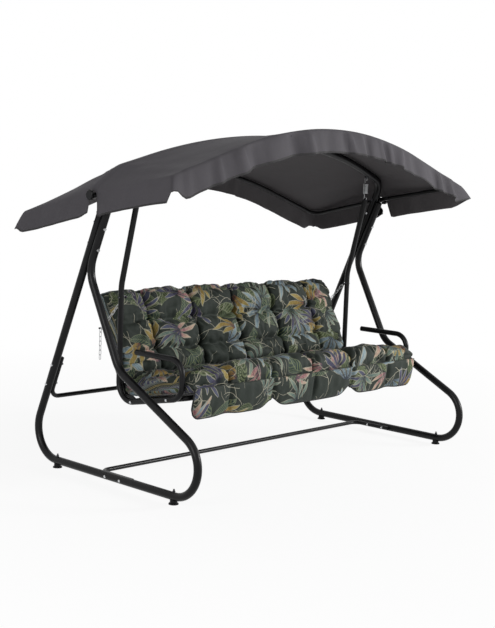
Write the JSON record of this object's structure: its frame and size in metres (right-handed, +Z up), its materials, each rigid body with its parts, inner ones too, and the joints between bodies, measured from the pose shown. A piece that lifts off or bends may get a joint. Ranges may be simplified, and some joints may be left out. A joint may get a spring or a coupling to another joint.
{
  "type": "garden swing seat",
  "caption": "Free-standing garden swing: tubular side frames, arched beam, tilting fabric canopy, spring-hung bench with reclining back and tufted cushions.",
  "frame": {"origin": "on the floor, at the middle of the outline", "axes": "+X to the sitters' left along the bench, -Y the way the sitters face, +Z up"},
  "size_m": [2.232, 1.2519, 1.703],
  "materials": {
    "powder_coat": "satin black powder coat",
    "black_plastic": "moulded black plastic",
    "zinc": "bright zinc plate",
    "dark_zinc": "black plated steel",
    "cushion_cloth": "printed polyester, dark green ground with leaves and flowers",
    "cover_cloth": "dark grey coated polyester"
  },
  "bodies": {
    "frame": {"left_front_leg": "powder_coat", "right_front_leg": "powder_coat", "left_rear_leg": "powder_coat", "right_rear_leg": "powder_coat", "crossbeam": "powder_coat", "rear_crossbar": "powder_coat", "floor_stretcher": "powder_coat", "left_front_foot": "black_plastic", "right_front_foot": "black_plastic", "left_rear_foot": "black_plastic", "right_rear_foot": "black_plastic", "foot_bolts": "dark_zinc", "leg_bolts": "zinc", "runner_bolts": "zinc", "crossbar_bolts": "zinc", "beam_bolts": "zinc", "leg_plugs": "black_plastic", "brace_plugs": "black_plastic", "leg_caps": "black_plastic", "left_spring_bracket": "dark_zinc", "right_spring_bracket": "dark_zinc", "canopy_bolts": "dark_zinc", "hub_discs": "black_plastic"},
    "swing": {"left_spring": "zinc", "right_spring": "zinc", "left_side_arm": "powder_coat", "right_side_arm": "powder_coat", "arm_plugs": "black_plastic", "hanger_eyes": "dark_zinc", "seat_frame": "powder_coat", "seat_grid": "powder_coat", "seat_bolts": "zinc", "chain_bolts": "dark_zinc", "left_chain": "zinc", "right_chain": "zinc", "hinge_bolts": "zinc", "seat_cushion": "cushion_cloth", "cushion_flap": "cushion_cloth"},
    "backrest": {"backrest_frame": "powder_coat", "backrest_grid": "powder_coat", "left_chain_tail": "zinc", "right_chain_tail": "zinc", "backrest_cushion": "cushion_cloth"},
    "canopy": {"front_bow": "powder_coat", "rear_bow": "powder_coat", "canopy_cover": "cover_cloth"},
    "knob_left": {"left_knob": "black_plastic"},
    "knob_right": {"right_knob": "black_plastic"}
  },
  "joints": [
    {"name": "swing_hinge", "type": "hinge", "parent": "frame", "child": "swing", "pos_m": [0, 0.01122, 1.46818], "axis": [1, 0, 0], "range_deg": [-12, 12]},
    {"name": "backrest_recline", "type": "hinge", "parent": "swing", "child": "backrest", "pos_m": [0, 0.12472, 0.395], "axis": [1, 0, 0], "range_deg": [-25, 5], "deforming": ["left_chain", "right_chain"]},
    {"name": "canopy_tilt", "type": "hinge", "parent": "frame", "child": "canopy", "pos_m": [0, 0.06227, 1.35022], "axis": [1, 0, 0], "range_deg": [-15, 3]},
    {"name": "left_knob_turn", "type": "hinge", "parent": "frame", "child": "knob_left", "pos_m": [-1.07, 0.06227, 1.35022], "axis": [-1, 0, 0], "continuous": true},
    {"name": "right_knob_turn", "type": "hinge", "parent": "frame", "child": "knob_right", "pos_m": [1.07, 0.06227, 1.35022], "axis": [1, 0, 0], "continuous": true}
  ]
}
